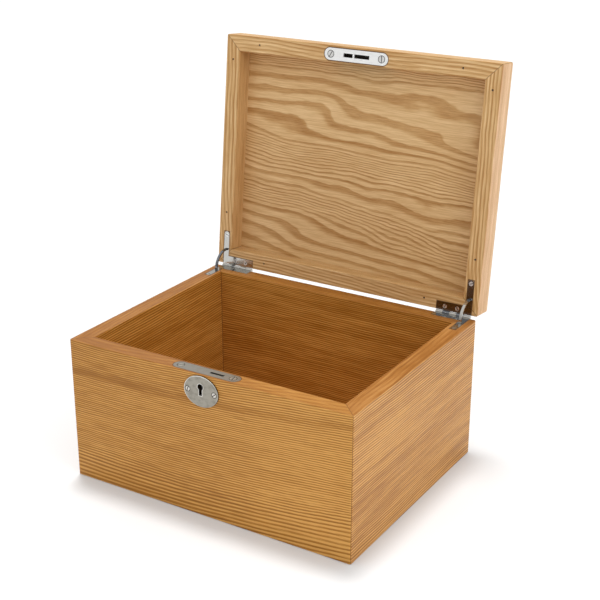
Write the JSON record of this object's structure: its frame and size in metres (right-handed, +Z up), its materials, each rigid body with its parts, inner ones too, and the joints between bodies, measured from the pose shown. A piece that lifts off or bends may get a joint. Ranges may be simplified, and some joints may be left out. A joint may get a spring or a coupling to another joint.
{
  "type": "wooden document box",
  "caption": "Lockable wooden box for documents, with a framed lid on quadrant hinges with stays, a mortise hook lock, an oval keyhole plate and keys.",
  "frame": {"origin": "the middle of the underside of the base", "axes": "+X to the right along the front, +Y to the back where the hinges are, +Z up"},
  "size_m": [0.346, 0.3361, 0.4387],
  "materials": {
    "ash_wood": "satin lacquer over straight-grained ash",
    "ash_panel": "satin lacquer over crown-cut ash",
    "nickel_plate": "satin nickel plate",
    "key_nickel": "polished nickel plate",
    "lock_steel": "bright zinc-plated steel",
    "lever_brass": "plain brass",
    "dark_pin": "dulled steel"
  },
  "bodies": {
    "box": {"base_front": "ash_wood", "base_back": "ash_wood", "base_left": "ash_wood", "base_right": "ash_wood", "base_floor": "ash_wood", "hinge_base_leaf_left": "nickel_plate", "hinge_base_leaf_right": "nickel_plate", "hinge_pin_left": "nickel_plate", "hinge_pin_right": "nickel_plate", "hinge_base_screws": "nickel_plate", "lock_selvedge": "nickel_plate", "lock_selvedge_screws": "nickel_plate", "lock_case": "lock_steel", "lock_cap": "lock_steel", "lock_cap_screws": "lock_steel", "hook_pivot": "lock_steel", "lever_pivot": "lock_steel", "drill_pin": "lock_steel", "lever_spring": "lock_steel", "escutcheon": "nickel_plate", "escutcheon_screws": "nickel_plate"},
    "lid": {"lid_front": "ash_wood", "lid_back": "ash_wood", "lid_left": "ash_wood", "lid_right": "ash_wood", "lid_panel": "ash_panel", "lid_pins": "dark_pin", "hinge_lid_leaf_left": "nickel_plate", "hinge_lid_leaf_right": "nickel_plate", "hinge_lid_screws": "nickel_plate", "link_plate": "nickel_plate", "link_plate_screws": "nickel_plate"},
    "stay_left": {"stay_left": "nickel_plate"},
    "stay_right": {"stay_right": "nickel_plate"},
    "hook": {"hook_bolt": "nickel_plate"},
    "lever": {"lock_lever": "lever_brass"},
    "keys": {"key_lower": "key_nickel", "key_upper": "key_nickel", "key_ring": "key_nickel"}
  },
  "joints": [
    {"name": "lid_hinge", "type": "hinge", "parent": "box", "child": "lid", "pos_m": [0, 0.1398, 0.1632], "axis": [-1, 0, 0], "range_deg": [-96.3, 0]},
    {"name": "stay_left_swing", "type": "hinge", "parent": "box", "child": "stay_left", "pos_m": [0, 0.1398, 0.1632], "axis": [-1, 0, 0], "range_deg": [-48.15, 0]},
    {"name": "stay_right_swing", "type": "hinge", "parent": "box", "child": "stay_right", "pos_m": [0, 0.1398, 0.1632], "axis": [-1, 0, 0], "range_deg": [-48.15, 0]},
    {"name": "hook_turn", "type": "hinge", "parent": "box", "child": "hook", "pos_m": [0.002, -0.12775, 0.156], "axis": [0, -1, 0], "range_deg": [0, 114]},
    {"name": "lever_lift", "type": "hinge", "parent": "box", "child": "lever", "pos_m": [-0.022, -0.12775, 0.1505], "axis": [0, -1, 0], "range_deg": [0, 6], "stiffness_Nm_per_rad": 0.01, "springref_deg": -9.74, "deforming": ["lever_spring"]},
    {"name": "keys_lift", "type": "slide", "parent": "box", "child": "keys", "axis": [0, 0, 1], "range_m": [0, 0.12]}
  ],
  "couplings": [
    {"joint": "stay_left_swing", "follows": "lid_hinge", "ratio": 0.5},
    {"joint": "stay_right_swing", "follows": "lid_hinge", "ratio": 0.5}
  ]
}
